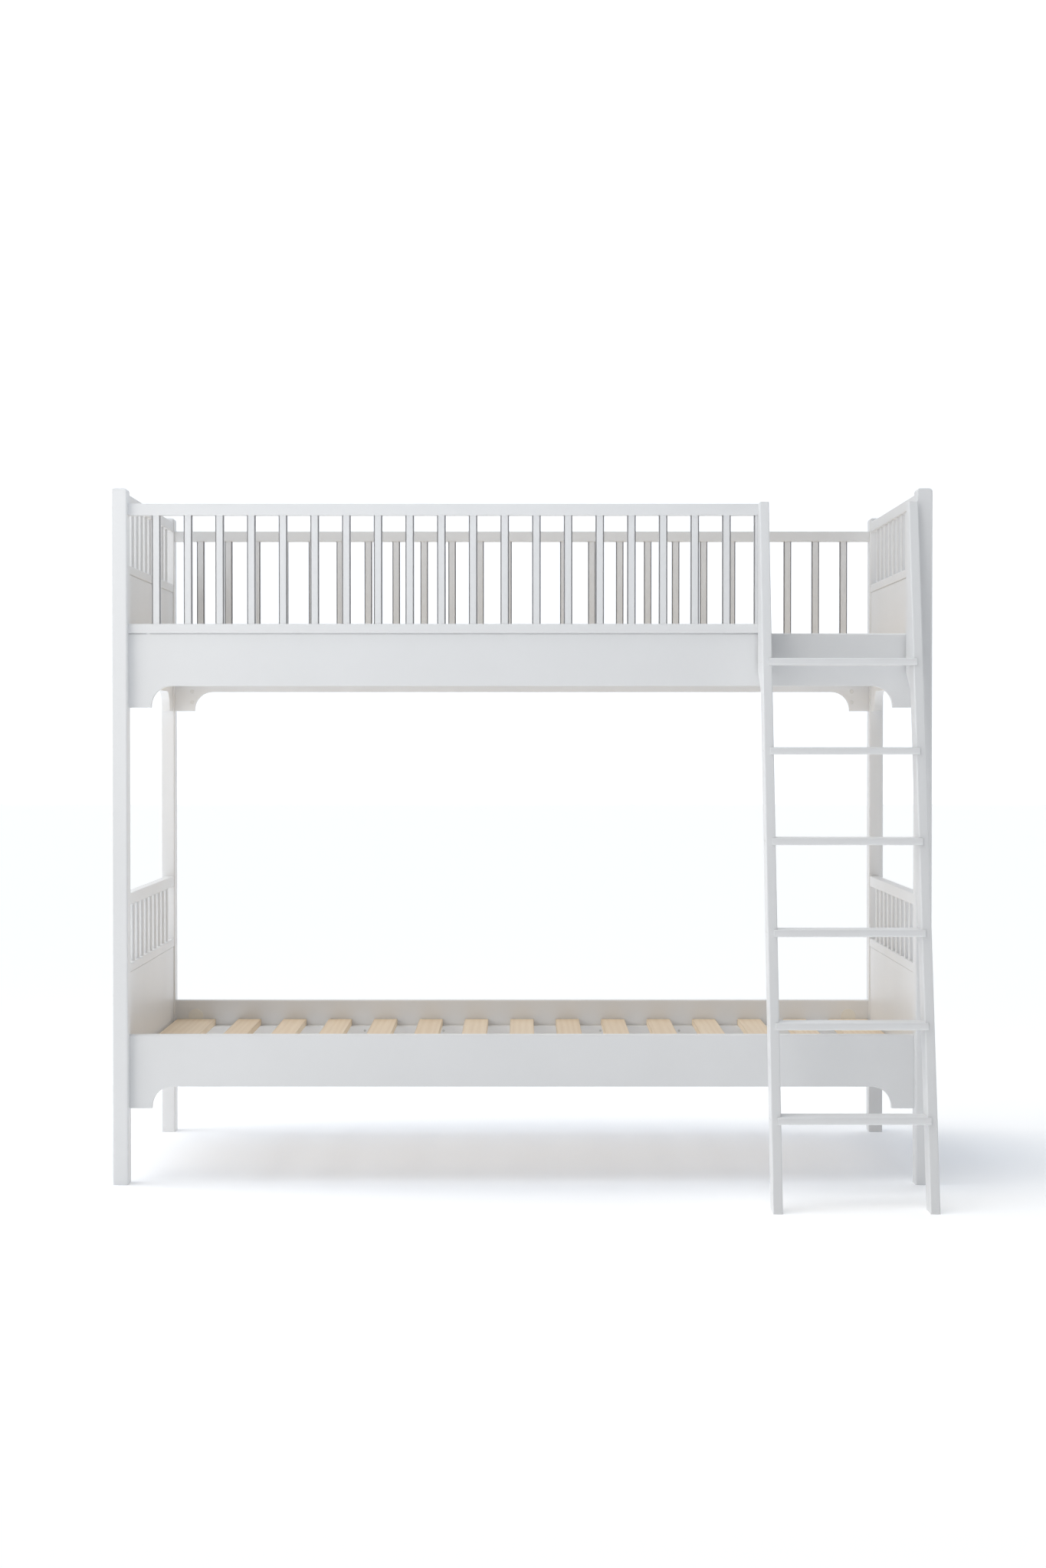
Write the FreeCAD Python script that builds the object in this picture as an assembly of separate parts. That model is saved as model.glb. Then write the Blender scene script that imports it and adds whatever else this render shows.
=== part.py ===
import FreeCAD, Part
import math
import os

# Bunk bed with a slanted ladder, in millimetres.
# +X runs along the bed, -Y is the ladder side (front), +Z is up.
# The origin is on the floor, under the middle of the whole object's box, ladder included.

os.makedirs("parts", exist_ok=True)
Vec = FreeCAD.Vector

# Overall sizes
bed_length = 2080.0  # over the posts, along X
bed_depth = 1000.0  # over the posts, along Y
bed_height = 1770.0  # floor to the tops of the posts

# Posts
post_size_x = 40.0
post_size_y = 56.0
post_edge_round = 4.0
post_top_round = 9.0

# Side panels, one pair for each bunk
panel_thickness = 18.0
panel_setback = 30.0  # post's outer face to the panel's outer face
panel_height = 134.0  # between the lobes
lobe_drop = 55.0  # how far the lobes hang below the panel's straight edge
lobe_width = 57.0  # at the lobe's foot
lobe_radius = 52.0
panel_top_round = 5.0
panel_edge_round = 1.5
lower_panel_top = 381.0
upper_panel_top = 1403.0

# Cleats that carry the slatted bases
cleat_thickness = 22.0
cleat_height = 40.0
cleat_end_gap = 2.0
cleat_edge_round = 1.5
base_depth = 55.0  # panel's top edge down to the slats' top faces

# Slatted bases
slat_thickness = 18.0
slat_width = 67.6
slat_pitch = 131.0
slat_min_gap = 50.0  # least gap between the last slat and the end slat
end_slat_width = 113.0
end_slat_gap = 3.5  # end slat to the post's inner face
slat_end_gap = 2.0  # slat's end to the panel's inner face
slat_edge_round = 2.0
tape_width = 25.0
tape_thickness = 1.2
tape_spread = 400.0  # between the two tapes' centre lines
tape_hold = 75.0  # how far a tape runs under each end slat

# Ends of the bed, four modules of rails, spindles and an infill panel
end_rail_thickness = 27.0
end_rail_recess = 2.5  # inner face, outwards from the post's inner face
end_top_rail_height = 30.0
end_mid_rail_height = 23.0
upper_end_drop = 12.0  # post's top down to the upper end rail's top
lower_end_top = 739.0
spindle_length = 150.0  # seen between the rails
spindle_width = 28.0  # along Y
spindle_thickness = 20.0  # along X
spindle_pitch = 83.0
spindle_min_gap = 75.0  # post to the first spindle, at least
spindle_round = 4.0
infill_thickness = 24.0
end_lobe_width = 72.0
groove_chamfer = 1.6  # on both sides of the line between mid rail and infill
rail_edge_round = 3.0
cove_height = 5.0  # rise of the upper end rail's top edge towards the posts
cove_length = 26.0
cove_sag = 1.25  # rise halfway along the cove

# Joinery
tenon_thickness = 12.0
tenon_shoulder = 5.0
tenon_length = 20.0
tongue_thickness = 10.0
tongue_length = 8.0
housing_depth = 9.0  # how deep spindle and slat ends sit in their rails

# Guards of the upper bunk
guard_rail_thickness = 26.0
guard_rail_setback = 22.0  # post's outer face to the rail's outer face
guard_drop = 38.0  # post's top down to the guards' top
guard_top_rail_height = 30.0
guard_bottom_rail_height = 24.0
guard_slat_width = 22.0
guard_slat_thickness = 20.0
guard_slat_pitch = 80.5
guard_slat_round = 3.0
guard_first_gap = 60.0
guard_last_gap = 8.0  # least gap at the guard's free end, behind the ladder
guard_overlap = 20.5  # how far the front guard runs behind the ladder's stile

# Ladder
ladder_width = 400.0
ladder_gap = 0.5  # clearance to the posts and to the guard
ladder_rise = 1.0  # how far the stiles reach above the guards
ladder_reach = 427.0  # post's outer face to the feet's front edge
ladder_top_reach = 24.0
stile_thickness = 24.0
stile_shank = 75.0  # horizontal depth below the heel
heel_below_panel = 100.0  # upper panel's top edge down to the stiles' heels
heel_drop = 48.0
stile_edge_round = 3.0
tread_count = 6
first_tread = 216.0  # floor to the lowest tread's middle
top_tread_drop = 76.0  # upper panel's top edge down to the highest tread's middle
tread_thickness = 18.0
tread_depth = 80.0
tread_nose = 7.0  # how far a tread stands in front of the stiles
tread_front_round = 5.0
tread_back_round = 2.0
tread_housing = 9.0

# Lift-off fitting between ladder and upper front panel
hook_height = 40.0  # panel's top edge down to the pins
pin_neck_radius = 3.0
pin_head_radius = 5.5
pin_head_thickness = 3.0
pin_spacer_radius = 8.0
pin_thread_length = 14.0
hook_clearance = 0.4
plate_width = 18.0
plate_head = 18.0  # plate above the pin
plate_thickness = 2.5

# Fasteners
bolt_radius = 3.0
bolt_head_radius = 5.0
bolt_head_length = 4.0
counterbore_radius = 6.5
counterbore_depth = 7.0
hex_key_width = 4.0
hex_key_depth = 2.5
nut_radius = 5.0
nut_setback = 50.0  # post's inner face to the barrel nut
nut_wall = 3.0  # wood left behind a blind barrel-nut hole
nut_slot_width = 1.2
nut_slot_depth = 1.0
bolt_past_nut = 4.0
bed_bolt_heights = (26.0, 57.0)  # above the lobe's foot
pocket_radius = 20.0
pocket_depth = 14.5
pocket_setback = 58.5  # post's inner face to the pocket's middle
pocket_height = 142.0  # above the lobe's foot
pocket_bolt_in_post = 25.0
cap_rim = 1.5  # how far the cap reaches past the pocket all round
cap_flange = 1.5  # how far the cap stands proud
cap_edge_round = 1.2
cap_skirt = 3.5
cap_wall = 2.0
wood_screw_radius = 2.0
wood_screw_head_radius = 4.0
cleat_screw_drop = 14.0  # below the cleat's top face
cleat_screw_pitch = 226.0
cleat_screw_end = 70.0  # least distance to the cleat's end
cleat_screw_bite = 13.0
guard_screw_bite = 28.0
guard_screw_count = 5
tread_screw_bite = 26.0
tread_screw_spread = 32.0
plate_screw_radius = 1.5
plate_screw_head_radius = 3.0
plate_screw_bite = 14.0
plate_screw_end = 6.0

# Places that follow from the sizes
half_length = bed_length / 2
inner_x = half_length - post_size_x  # post's inner face
front_y = (ladder_reach - bed_depth) / 2  # outer face of the front posts
rear_y = front_y + bed_depth
middle_y = front_y + bed_depth / 2
front_post_back = front_y + post_size_y
panel_front = front_y + panel_setback
panel_back = panel_front + panel_thickness
panel_middle = panel_front + panel_thickness / 2
nut_x = inner_x - nut_setback
panel_tops = {"lower": lower_panel_top, "upper": upper_panel_top}
upper_end_top = bed_height - upper_end_drop
end_tops = {"lower": lower_end_top, "upper": upper_end_top}
guard_top = bed_height - guard_drop
ladder_height = guard_top + ladder_rise
heel_top = upper_panel_top - heel_below_panel
tread_pitch = (upper_panel_top - top_tread_drop - first_tread) / (tread_count - 1)


def foot_of(level):
    """Height of the lobes' feet."""
    return panel_tops[level] - panel_height - lobe_drop


def base_top(level):
    """Height of the faces that the mattress lies on."""
    return panel_tops[level] - base_depth


def box(x0, x1, y0, y1, z0, z1):
    return Part.makeBox(x1 - x0, y1 - y0, z1 - z0, Vec(x0, y0, z0))


def rod(radius, length, start, direction):
    return Part.makeCylinder(radius, length, start, direction)


def edges_along(shape, axis, test=None):
    """Straight edges that run along one axis, all of them or those whose middle passes a test."""
    found = []
    for edge in shape.Edges:
        if len(edge.Vertexes) != 2:
            continue
        run = edge.Vertexes[1].Point.sub(edge.Vertexes[0].Point)
        if abs(abs(run.dot(axis)) - run.Length) > 1e-6:
            continue
        if test is None or test(edge.CenterOfMass):
            found.append(edge)
    return found


along_x = Vec(1, 0, 0)
along_y = Vec(0, 1, 0)
along_z = Vec(0, 0, 1)


def bar(x0, x1, y0, y1, z0, z1, axis, radius):
    """A straight bar with its four long edges rounded."""
    solid = box(x0, x1, y0, y1, z0, z1)
    return solid.makeFillet(radius, edges_along(solid, axis))


def face_of(points_and_arcs):
    """A flat face from line ends and arcs. An arc is (middle point, end point)."""
    edges = []
    here = points_and_arcs[0]
    for step in points_and_arcs[1:]:
        if isinstance(step, tuple):
            edges.append(Part.Arc(here, step[0], step[1]).toShape())
            here = step[1]
        else:
            edges.append(Part.LineSegment(here, step).toShape())
            here = step
    edges.append(Part.LineSegment(here, points_and_arcs[0]).toShape())
    return Part.Face(Part.Wire(edges))


def mirrored_x(shape):
    return shape.mirror(Vec(0, 0, 0), along_x)


def mirrored_y(shape):
    return shape.mirror(Vec(0, middle_y, 0), along_y)


def placed(shape, side, row):
    """Takes a shape made for the front right corner to another corner."""
    if side == "left":
        shape = mirrored_x(shape)
    if row == "rear":
        shape = mirrored_y(shape)
    return shape


def centred_places(span, size, pitch, end_gap):
    """Centres of as many pieces as fit at a pitch, centred on zero."""
    count = int((span - 2 * end_gap - size) / pitch) + 1
    return [(i - (count - 1) / 2) * pitch for i in range(count)]


nodes = {}
sides = ("left", "right")
rows = ("front", "rear")
levels = ("lower", "upper")


# Posts, made at the front right corner
def post_blank():
    solid = box(inner_x, half_length, front_y, front_post_back, 0, bed_height)
    top_edges = [e for e in solid.Edges if e.CenterOfMass.z > bed_height - 1e-6]
    solid = solid.makeFillet(post_top_round, top_edges)
    upright = edges_along(solid, along_z)
    return solid.makeFillet(post_edge_round, upright)


def arch(start, end, foot, width, point):
    """Lower outline of a panel: a lobe at each end, with a concave arc up to the straight edge."""
    rise = foot + lobe_drop
    turn = lobe_radius * (1 - math.sqrt(0.5))
    spring = rise - lobe_radius
    inner_start = start + width
    inner_end = end - width
    return [
        point(start, foot),
        point(inner_start, foot),
        point(inner_start, spring),
        (point(inner_start + turn, rise - turn), point(inner_start + lobe_radius, rise)),
        point(inner_end - lobe_radius, rise),
        (point(inner_end - turn, rise - turn), point(inner_end, spring)),
        point(inner_end, foot),
        point(end, foot),
    ]


# Side panels, made for the front
def side_panel(level):
    top = panel_tops[level]

    def point(x, z):
        return Vec(x, panel_front, z)

    outline = arch(-inner_x, inner_x, foot_of(level), lobe_width, point)
    outline += [point(inner_x, top), point(-inner_x, top)]
    solid = face_of(outline).extrude(Vec(0, panel_thickness, 0))
    top_edges = edges_along(solid, along_x, lambda c: c.z > top - 1e-6)
    solid = solid.makeFillet(panel_top_round, top_edges)
    straight = foot_of(level) + lobe_drop
    low_edges = edges_along(solid, along_x, lambda c: abs(c.z - straight) < 1e-6)
    arcs = [e for e in solid.Edges if e.Curve.TypeId == "Part::GeomCircle"]
    low_edges += [e for e in arcs if e.CenterOfMass.z < straight]
    return solid.makeFillet(panel_edge_round, low_edges)


def side_cleat(level):
    top = base_top(level) - slat_thickness
    end = inner_x - cleat_end_gap
    y1 = panel_back + cleat_thickness
    return bar(-end, end, panel_back, y1, top - cleat_height, top, along_x, cleat_edge_round)


# Slatted bases: slats lie across the bed on the cleats
def base_slat(x, width, level):
    top = base_top(level)
    y0 = panel_back + slat_end_gap
    y1 = y0 + bed_depth - 2 * (y0 - front_y)
    return bar(x - width / 2, x + width / 2, y0, y1, top - slat_thickness, top, along_y, slat_edge_round)


def base_slats(level):
    end_inner = inner_x - end_slat_gap - end_slat_width
    places = centred_places(2 * end_inner, slat_width, slat_pitch, slat_min_gap)
    return Part.makeCompound([base_slat(x, slat_width, level) for x in places])


def base_end_slats(level):
    x = inner_x - end_slat_gap - end_slat_width / 2
    return Part.makeCompound([base_slat(sign * x, end_slat_width, level) for sign in (-1, 1)])


def base_tapes(level):
    under = base_top(level) - slat_thickness
    end = inner_x - end_slat_gap - end_slat_width + tape_hold
    tapes = []
    for sign in (-1, 1):
        y = middle_y + sign * tape_spread / 2
        tapes.append(box(-end, end, y - tape_width / 2, y + tape_width / 2, under - tape_thickness, under))
    return Part.makeCompound(tapes)


# Ends of the bed, made for the right end between the two right posts
rail_x0 = inner_x + end_rail_recess
rail_x1 = rail_x0 + end_rail_thickness
rail_middle_x = (rail_x0 + rail_x1) / 2
infill_x0 = rail_middle_x - infill_thickness / 2
end_y0 = front_post_back
end_y1 = rear_y - post_size_y


def tenons(z0, z1):
    """Both tenons of an end rail."""
    pieces = []
    for y0, y1 in ((end_y0 - tenon_length, end_y0), (end_y1, end_y1 + tenon_length)):
        pieces.append(
            box(
                rail_middle_x - tenon_thickness / 2,
                rail_middle_x + tenon_thickness / 2,
                y0,
                y1,
                z0 + tenon_shoulder,
                z1 - tenon_shoulder,
            )
        )
    return pieces


def end_rail_z(level):
    """Heights of the top rail's top and foot and of the mid rail's top and foot."""
    top = end_tops[level]
    top_foot = top - end_top_rail_height
    mid_top = top_foot - spindle_length
    return top, top_foot, mid_top, mid_top - end_mid_rail_height


def spindles(level):
    top, top_foot, mid_top, mid_foot = end_rail_z(level)
    x0 = rail_middle_x - spindle_thickness / 2
    x1 = x0 + spindle_thickness
    pieces = []
    for y in centred_places(end_y1 - end_y0, spindle_width, spindle_pitch, spindle_min_gap):
        y0 = middle_y + y - spindle_width / 2
        z0 = mid_top - housing_depth
        z1 = top_foot + housing_depth
        pieces.append(bar(x0, x1, y0, y0 + spindle_width, z0, z1, along_z, spindle_round))
    return Part.makeCompound(pieces)


def coved_rail(top, foot):
    """Top rail whose upper edge rises in a small cove towards each post."""

    def point(y, z):
        return Vec(rail_x0, y, z)

    outline = [
        point(end_y0, foot),
        point(end_y1, foot),
        point(end_y1, top + cove_height),
        (point(end_y1 - cove_length / 2, top + cove_sag), point(end_y1 - cove_length, top)),
        point(end_y0 + cove_length, top),
        (point(end_y0 + cove_length / 2, top + cove_sag), point(end_y0, top + cove_height)),
    ]
    solid = face_of(outline).extrude(Vec(end_rail_thickness, 0, 0))
    return solid.makeFillet(rail_edge_round, edges_along(solid, along_y))


def end_top_rail(level):
    top, top_foot, mid_top, mid_foot = end_rail_z(level)
    if level == "upper":
        rail = coved_rail(top, top_foot)
    else:
        rail = bar(rail_x0, rail_x1, end_y0, end_y1, top_foot, top, along_y, rail_edge_round)
    return rail.fuse(tenons(top_foot, top)).cut(spindles(level))


def infill_tongue(level):
    """Tongue of the infill panel's top edge, which sits in the mid rail's groove."""
    mid_foot = end_rail_z(level)[3]
    x0 = rail_middle_x - tongue_thickness / 2
    y0 = end_y0 + tenon_length
    y1 = end_y1 - tenon_length
    return box(x0, x0 + tongue_thickness, y0, y1, mid_foot, mid_foot + tongue_length)


def end_mid_rail(level):
    top, top_foot, mid_top, mid_foot = end_rail_z(level)
    rail = box(rail_x0, rail_x1, end_y0, end_y1, mid_foot, mid_top)
    upper = edges_along(rail, along_y, lambda c: c.z > mid_top - 1e-6)
    rail = rail.makeFillet(rail_edge_round, upper)
    lower = edges_along(rail, along_y, lambda c: c.z < mid_foot + 1e-6)
    rail = rail.makeChamfer(groove_chamfer, lower)
    return rail.fuse(tenons(mid_foot, mid_top)).cut(spindles(level)).cut(infill_tongue(level))


def end_infill(level):
    mid_foot = end_rail_z(level)[3]
    foot = foot_of(level)

    def point(y, z):
        return Vec(infill_x0, y, z)

    outline = arch(end_y0, end_y1, foot, end_lobe_width, point)
    outline += [point(end_y1, mid_foot), point(end_y0, mid_foot)]
    solid = face_of(outline).extrude(Vec(infill_thickness, 0, 0))
    straight = foot + lobe_drop
    low_edges = edges_along(solid, along_y, lambda c: abs(c.z - straight) < 1e-6)
    low_edges += [e for e in solid.Edges if e.Curve.TypeId == "Part::GeomCircle"]
    solid = solid.makeFillet(panel_edge_round, low_edges)
    top_edges = edges_along(solid, along_y, lambda c: c.z > mid_foot - 1e-6)
    solid = solid.makeChamfer(groove_chamfer, top_edges)
    x0 = rail_middle_x - tongue_thickness / 2
    x1 = x0 + tongue_thickness
    z0 = foot + tenon_shoulder
    z1 = mid_foot - tenon_shoulder
    tongues = [infill_tongue(level)]
    for y0, y1 in ((end_y0 - tongue_length, end_y0), (end_y1, end_y1 + tongue_length)):
        tongues.append(box(x0, x1, y0, y1, z0, z1))
    return solid.fuse(tongues)


# Guards, made for the front, where the right end is the free end behind the ladder
ladder_right = inner_x - ladder_gap
ladder_left = ladder_right - ladder_width
guard_y0 = front_y + guard_rail_setback
guard_y1 = guard_y0 + guard_rail_thickness
guard_middle_y = (guard_y0 + guard_y1) / 2
guard_end_x = {"front": ladder_left + guard_overlap, "rear": inner_x}
guard_foot = upper_panel_top + guard_bottom_rail_height


def guard_slat_places(row):
    if row == "rear":
        return centred_places(2 * inner_x, guard_slat_width, guard_slat_pitch, guard_first_gap)
    span = guard_end_x[row] + inner_x - guard_first_gap - guard_last_gap - guard_slat_width
    count = int(span / guard_slat_pitch) + 1
    first = -inner_x + guard_first_gap + guard_slat_width / 2
    return [first + i * guard_slat_pitch for i in range(count)]


def guard_slats(row):
    y0 = guard_middle_y - guard_slat_thickness / 2
    y1 = y0 + guard_slat_thickness
    z0 = guard_foot - housing_depth
    z1 = guard_top - guard_top_rail_height + housing_depth
    pieces = []
    for x in guard_slat_places(row):
        x0 = x - guard_slat_width / 2
        pieces.append(bar(x0, x0 + guard_slat_width, y0, y1, z0, z1, along_z, guard_slat_round))
    return Part.makeCompound(pieces)


def guard_rail(row, z0, z1):
    rail = bar(-inner_x, guard_end_x[row], guard_y0, guard_y1, z0, z1, along_x, rail_edge_round)
    return rail.cut(guard_slats(row))


# Ladder, made in the bed's own place. Its front edge is one straight slant.
stile_back = guard_y0 - ladder_gap
ladder_slope = (ladder_reach - ladder_top_reach) / ladder_height


def ladder_front(z):
    return front_y - ladder_reach + ladder_slope * z


def stile_blank(x0):
    heel_foot = heel_top - heel_drop

    def point(y, z):
        return Vec(x0, y, z)

    outline = [
        point(ladder_front(0), 0),
        point(ladder_front(0) + stile_shank, 0),
        point(ladder_front(heel_foot) + stile_shank, heel_foot),
        point(stile_back, heel_top),
        point(stile_back, ladder_height),
        point(ladder_front(ladder_height), ladder_height),
    ]
    solid = face_of(outline).extrude(Vec(stile_thickness, 0, 0))
    long_edges = []
    for edge in solid.Edges:
        run = edge.Vertexes[1].Point.sub(edge.Vertexes[0].Point)
        if abs(run.x) < 1e-6 and edge.CenterOfMass.z > 1e-6:
            long_edges.append(edge)
    return solid.makeFillet(stile_edge_round, long_edges)


tread_x0 = ladder_left + stile_thickness - tread_housing
tread_x1 = ladder_right - stile_thickness + tread_housing


def tread_middle(index):
    return first_tread + index * tread_pitch


def tread(index):
    z = tread_middle(index)
    y0 = ladder_front(z) - tread_nose
    z0 = z - tread_thickness / 2
    solid = box(tread_x0, tread_x1, y0, y0 + tread_depth, z0, z0 + tread_thickness)
    front = edges_along(solid, along_x, lambda c: c.y < y0 + 1e-6)
    solid = solid.makeFillet(tread_front_round, front)
    back = edges_along(solid, along_x, lambda c: c.y > y0 + tread_depth - 1e-6)
    return solid.makeFillet(tread_back_round, back)


# Lift-off fitting: a headed pin in the upper front panel and a slotted plate in each stile's back
hook_z = upper_panel_top - hook_height
hook_x = {"left": ladder_left + stile_thickness / 2, "right": ladder_right - stile_thickness / 2}
plate_front = stile_back - plate_thickness


def hook_pin(side):
    x = hook_x[side]
    head_start = plate_front - hook_clearance - pin_head_thickness
    head = rod(pin_head_radius, pin_head_thickness, Vec(x, head_start, hook_z), along_y)
    neck = rod(pin_neck_radius, guard_y0 - head_start, Vec(x, head_start, hook_z), along_y)
    spacer = rod(pin_spacer_radius, panel_front - guard_y0, Vec(x, guard_y0, hook_z), along_y)
    thread = rod(pin_neck_radius, pin_thread_length, Vec(x, panel_front, hook_z), along_y)
    return head.fuse([neck, spacer, thread]).removeSplitter()


def slot_cut(x, y0, depth, radius, top, bottom):
    """A round-ended slot upright in the X-Z plane."""
    ends = [rod(radius, depth, Vec(x, y0, z), along_y) for z in (top, bottom)]
    return box(x - radius, x + radius, y0, y0 + depth, bottom, top).fuse(ends)


plate_top = hook_z + plate_head


def plate_blank(side):
    x = hook_x[side]
    return box(x - plate_width / 2, x + plate_width / 2, plate_front, stile_back, heel_top, plate_top)


def hook_plate(side):
    """Plate with a slot that is open at its foot and closes over the pin's neck."""
    radius = pin_neck_radius + hook_clearance
    foot = heel_top - heel_drop
    slot = slot_cut(hook_x[side], plate_front, plate_thickness, radius, hook_z, foot)
    return plate_blank(side).cut(slot)


def stile_pocket(side):
    """Room in the stile for the plate and, down to the heel, for the pin's head."""
    depth = 2 * hook_clearance + pin_head_thickness
    head_room = pin_head_radius + hook_clearance
    neck_room = pin_neck_radius + hook_clearance
    foot = heel_top - heel_drop
    channel = slot_cut(hook_x[side], plate_front - depth, depth, head_room, hook_z, foot)
    neck = slot_cut(hook_x[side], plate_front, plate_thickness, neck_room, heel_top, foot)
    return plate_blank(side).fuse([channel, neck])


def countersunk(radius, head_radius, length, head, direction):
    """A screw with a conical head flush with the surface at the point head, running in a direction."""
    cone = Part.makeCone(head_radius, radius, head_radius - radius, head, direction)
    return cone.fuse(rod(radius, length, head, direction)).removeSplitter()


def plate_screws(side):
    x = hook_x[side]
    length = plate_thickness + plate_screw_bite
    head = Vec(x, stile_back, plate_top - plate_screw_end)
    return [countersunk(plate_screw_radius, plate_screw_head_radius, length, head, Vec(0, -1, 0))]


def tread_screws(side):
    """Two screws through the stile into each end of every tread."""
    head_x = ladder_left if side == "left" else ladder_right
    into = along_x if side == "left" else Vec(-1, 0, 0)
    length = stile_thickness - tread_housing + tread_screw_bite
    screws = []
    for index in range(tread_count):
        z = tread_middle(index)
        middle = ladder_front(z) - tread_nose + tread_depth / 2
        for offset in (-tread_screw_spread / 2, tread_screw_spread / 2):
            head = Vec(head_x, middle + offset, z)
            screws.append(countersunk(wood_screw_radius, wood_screw_head_radius, length, head, into))
    return screws


# Bolts that draw a side panel or guard rail to a post, made at the front right corner
def post_bolt(y, z):
    head_x = half_length - counterbore_depth
    head = rod(bolt_head_radius, bolt_head_length, Vec(head_x, y, z), along_x)
    length = head_x - nut_x + bolt_past_nut
    shank = rod(bolt_radius, length, Vec(nut_x - bolt_past_nut, y, z), along_x)
    key_x = head_x + bolt_head_length - hex_key_depth
    key_corner = hex_key_width / math.sqrt(3)
    corners = []
    for i in range(7):
        turn = math.radians(60 * i)
        corners.append(Vec(key_x, y + key_corner * math.cos(turn), z + key_corner * math.sin(turn)))
    recess = Part.Face(Part.makePolygon(corners)).extrude(Vec(hex_key_depth, 0, 0))
    return head.fuse(shank).removeSplitter().cut(recess)


def post_bolt_room(y, z):
    """Counterbore and bolt hole in the post."""
    start = half_length - counterbore_depth
    bore = rod(counterbore_radius, counterbore_depth, Vec(start, y, z), along_x)
    return bore.fuse(rod(bolt_radius, post_size_x, Vec(inner_x, y, z), along_x))


def nut_room(mouth, into, length):
    return rod(nut_radius, length, mouth, into)


def barrel_nut(mouth, into, length, bolt):
    """Cross nut whose slotted end is flush with the face that it is put in from."""
    nut = nut_room(mouth, into, length).cut(bolt)
    across = along_x.cross(into) * nut_radius
    aside = along_x * (nut_slot_width / 2)
    corners = [mouth - aside - across, mouth + aside - across, mouth + aside + across, mouth - aside + across]
    slot = Part.makePolygon(corners + corners[:1])
    return nut.cut(Part.Face(slot).extrude(into * nut_slot_depth))


# Guard rails and the way in for their nuts: up into the top rail, down into the bottom rail
guard_bolt_places = (
    (guard_top - guard_top_rail_height, guard_top_rail_height, along_z),
    (guard_foot, guard_bottom_rail_height, Vec(0, 0, -1)),
)


# Connector bolt that sits in a round pocket of the panel under a cap
def pocket_place(level):
    return inner_x - pocket_setback, foot_of(level) + pocket_height


def pocket_room(level):
    x, z = pocket_place(level)
    hole = rod(pocket_radius, pocket_depth, Vec(x, panel_back - pocket_depth, z), along_y)
    seat = rod(bolt_head_radius, bolt_head_length, Vec(pocket_bolt_head(level), panel_middle, z), along_x)
    return hole.fuse(seat)


def pocket_bolt_head(level):
    x, z = pocket_place(level)
    return x + pocket_radius - bolt_head_length


def pocket_bolt(level):
    z = pocket_place(level)[1]
    head_x = pocket_bolt_head(level)
    head = rod(bolt_head_radius, bolt_head_length, Vec(head_x, panel_middle, z), along_x)
    length = inner_x + pocket_bolt_in_post - head_x
    return head.fuse(rod(bolt_radius, length, Vec(head_x, panel_middle, z), along_x)).removeSplitter()


def pocket_cap(level):
    x, z = pocket_place(level)
    flange = rod(pocket_radius + cap_rim, cap_flange, Vec(x, panel_back, z), along_y)
    rim = [e for e in flange.Edges if e.CenterOfMass.y > panel_back + cap_flange - 1e-6]
    flange = flange.makeFillet(cap_edge_round, rim)
    skirt = rod(pocket_radius, cap_skirt, Vec(x, panel_back - cap_skirt, z), along_y)
    hollow = rod(pocket_radius - cap_wall, cap_skirt, Vec(x, panel_back - cap_skirt, z), along_y)
    return flange.fuse(skirt.cut(hollow)).removeSplitter()


def cleat_screws(level):
    """Screws through a front cleat into the panel."""
    span = 2 * (inner_x - cleat_end_gap)
    z = base_top(level) - slat_thickness - cleat_screw_drop
    y = panel_back + cleat_thickness
    length = cleat_thickness + cleat_screw_bite
    places = centred_places(span, 0, cleat_screw_pitch, cleat_screw_end)
    screws = []
    for x in places:
        head = Vec(x, y, z)
        screws.append(countersunk(wood_screw_radius, wood_screw_head_radius, length, head, Vec(0, -1, 0)))
    return screws


def guard_screws(row):
    """Screws down through the guard's bottom rail into the panel's top edge, midway between slats."""
    places = guard_slat_places(row)
    gaps = [(a + b) / 2 for a, b in zip(places, places[1:])]
    step = (len(gaps) - 1) / (guard_screw_count - 1)
    length = guard_bottom_rail_height + guard_screw_bite
    screws = []
    for i in range(guard_screw_count):
        head = Vec(gaps[int(i * step)], panel_middle, guard_foot)
        screws.append(countersunk(wood_screw_radius, wood_screw_head_radius, length, head, Vec(0, 0, -1)))
    return screws


# Build the fasteners first, because every wooden piece is cut to fit them
bed_bolts = []
barrel_nuts = []
pocket_bolts = []
pocket_caps = []
post_cuts = {(side, row): [] for side in sides for row in rows}
panel_cuts = {(level, row): [] for level in levels for row in rows}
guard_cuts = {row: [] for row in rows}
guard_bolts = []
guard_nuts = []

for level in levels:
    for height in bed_bolt_heights:
        z = foot_of(level) + height
        bolt = post_bolt(panel_middle, z)
        mouth = Vec(nut_x, panel_back, z)
        nut_length = panel_thickness - nut_wall
        nut = barrel_nut(mouth, Vec(0, -1, 0), nut_length, bolt)
        room = nut_room(mouth, Vec(0, -1, 0), nut_length)
        start = Vec(nut_x - bolt_past_nut, panel_middle, z)
        hole = rod(bolt_radius, nut_setback + bolt_past_nut, start, along_x)
        for side in sides:
            for row in rows:
                bed_bolts.append(placed(bolt, side, row))
                barrel_nuts.append(placed(nut, side, row))
                post_cuts[side, row].append(placed(post_bolt_room(panel_middle, z), side, row))
                panel_cuts[level, row].append(placed(hole, side, row))
                panel_cuts[level, row].append(placed(room, side, row))
    bolt = pocket_bolt(level)
    for side in sides:
        for row in rows:
            pocket_bolts.append(placed(bolt, side, row))
            pocket_caps.append(placed(pocket_cap(level), side, row))
            post_cuts[side, row].append(placed(bolt, side, row))
            panel_cuts[level, row].append(placed(bolt, side, row))
            panel_cuts[level, row].append(placed(pocket_room(level), side, row))

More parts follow.
